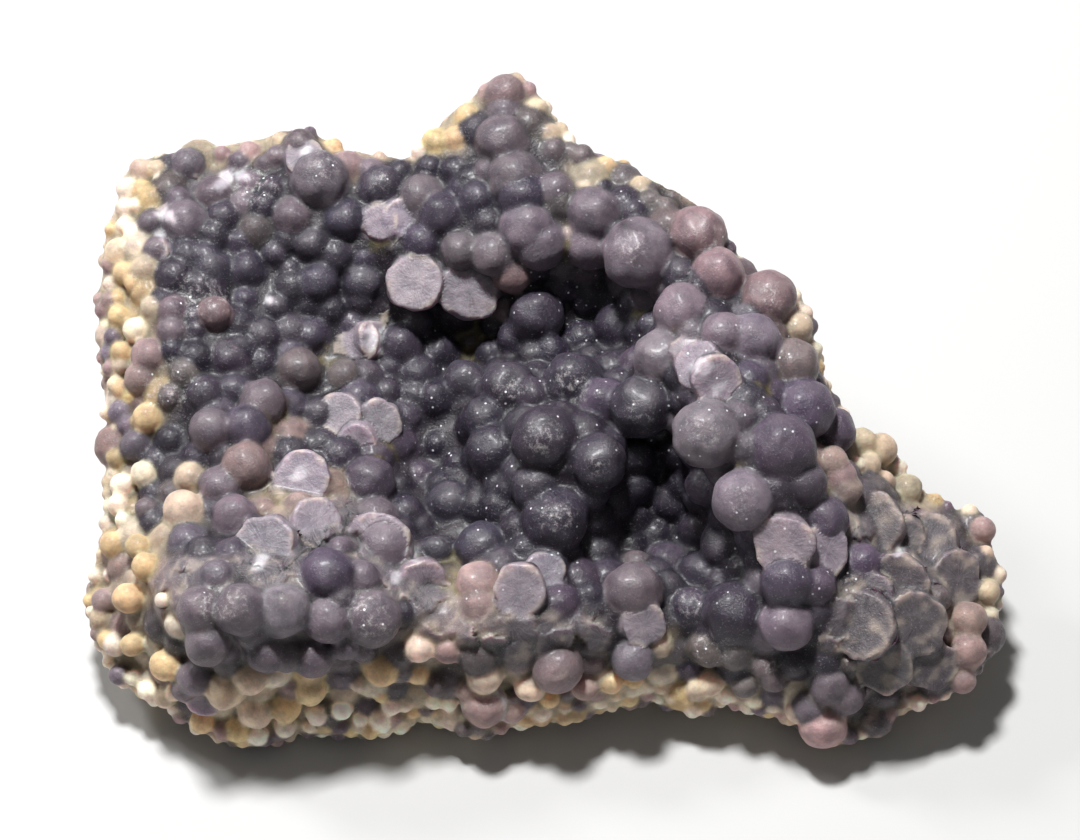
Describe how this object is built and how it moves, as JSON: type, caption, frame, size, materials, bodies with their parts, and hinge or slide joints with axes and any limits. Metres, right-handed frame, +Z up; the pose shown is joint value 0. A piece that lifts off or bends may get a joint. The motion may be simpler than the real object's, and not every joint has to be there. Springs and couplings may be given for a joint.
{
  "type": "grape agate specimen",
  "caption": "Free-standing mineral specimen: a broken mass of purple chalcedony covered in round grape-like growths, resting on a flat cut base.",
  "frame": {"origin": "middle of the bounding box, at its lowest level, on the table", "axes": "+X to the viewer's right, +Y away from the viewer, +Z up"},
  "size_m": [0.0904, 0.0608, 0.0328],
  "materials": {
    "chalcedony": "satin, finely sugary"
  },
  "bodies": {
    "root": {"grape_agate": "chalcedony"}
  },
  "joints": []
}
